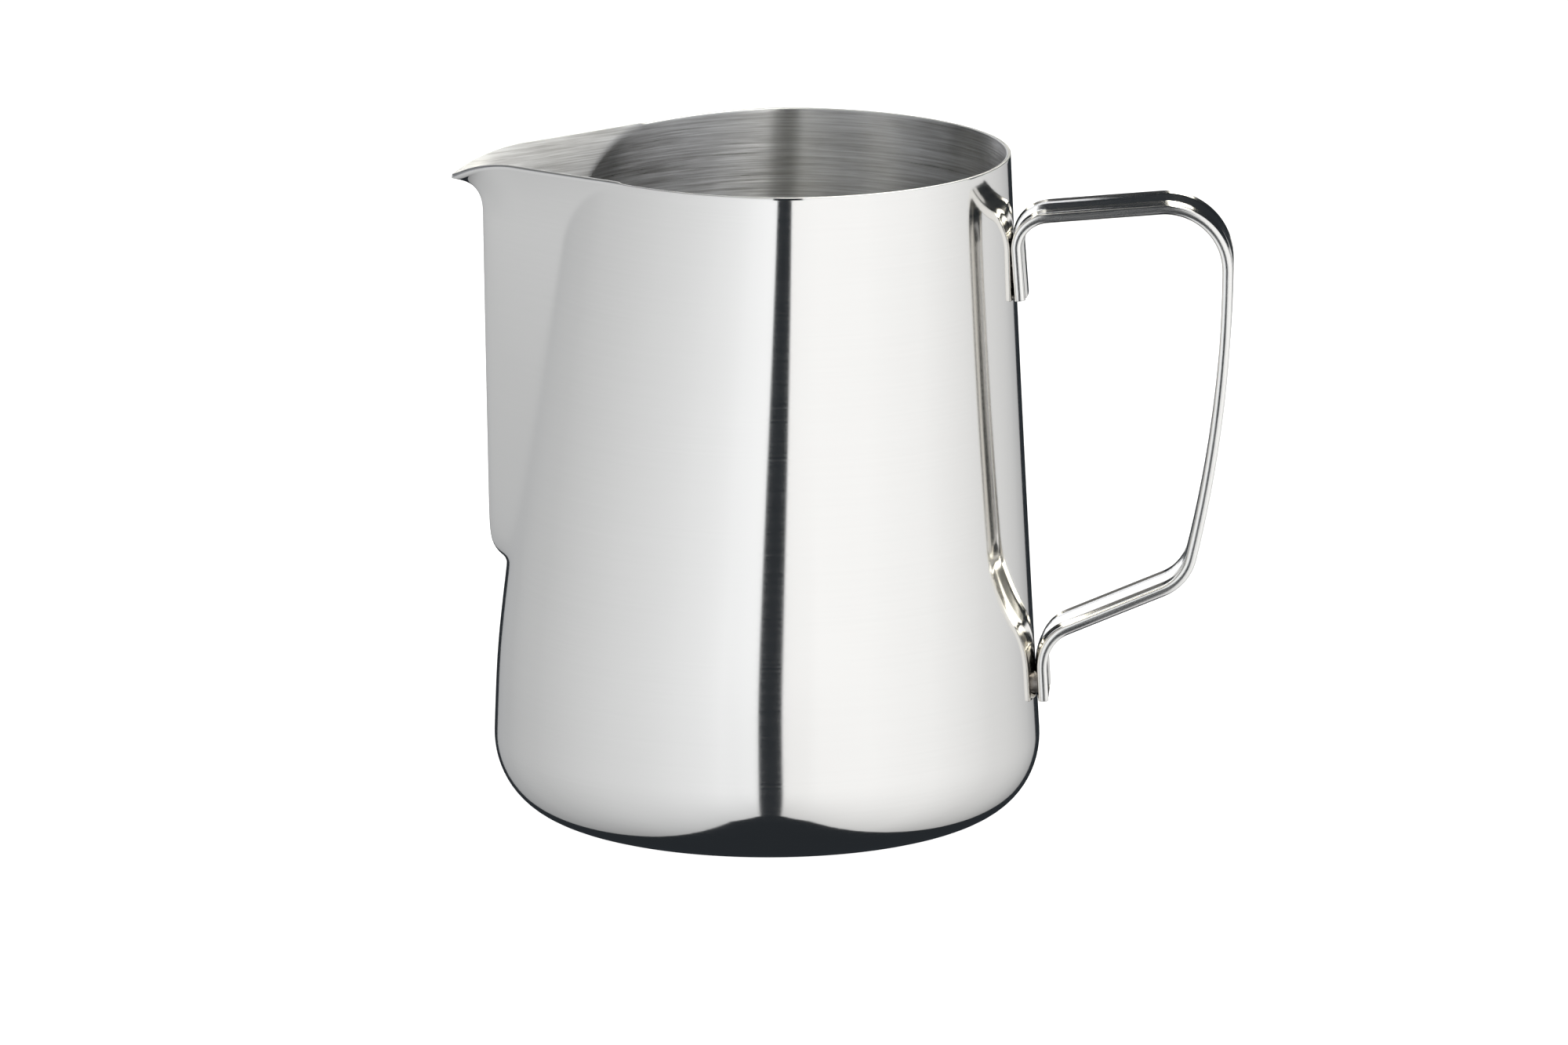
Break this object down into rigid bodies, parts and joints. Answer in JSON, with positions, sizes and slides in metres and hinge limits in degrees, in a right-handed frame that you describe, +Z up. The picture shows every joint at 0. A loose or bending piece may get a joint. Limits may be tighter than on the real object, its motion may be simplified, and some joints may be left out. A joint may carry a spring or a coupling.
{
  "type": "milk frothing pitcher",
  "caption": "Stainless steel milk frothing pitcher: one-piece tapered vessel with a pressed V spout and a bent strap handle spot-welded to its wall.",
  "frame": {"origin": "centre of the round base, on the surface that the pitcher stands on", "axes": "+Z up out of the mouth, +X from the axis to the handle, so the spout points along -X, +Y to the left when looking from the spout to the handle"},
  "size_m": [0.1281, 0.09, 0.11],
  "materials": {
    "vessel_steel": "polished to a near mirror outside, fine horizontal brushing inside",
    "strap_steel": "tumbled and polished strap with rounded edges",
    "weld_steel": "dull weld nugget"
  },
  "bodies": {
    "root": {"vessel": "vessel_steel", "handle_strap": "strap_steel", "upper_spot_welds": "weld_steel", "lower_spot_welds": "weld_steel"}
  },
  "joints": []
}
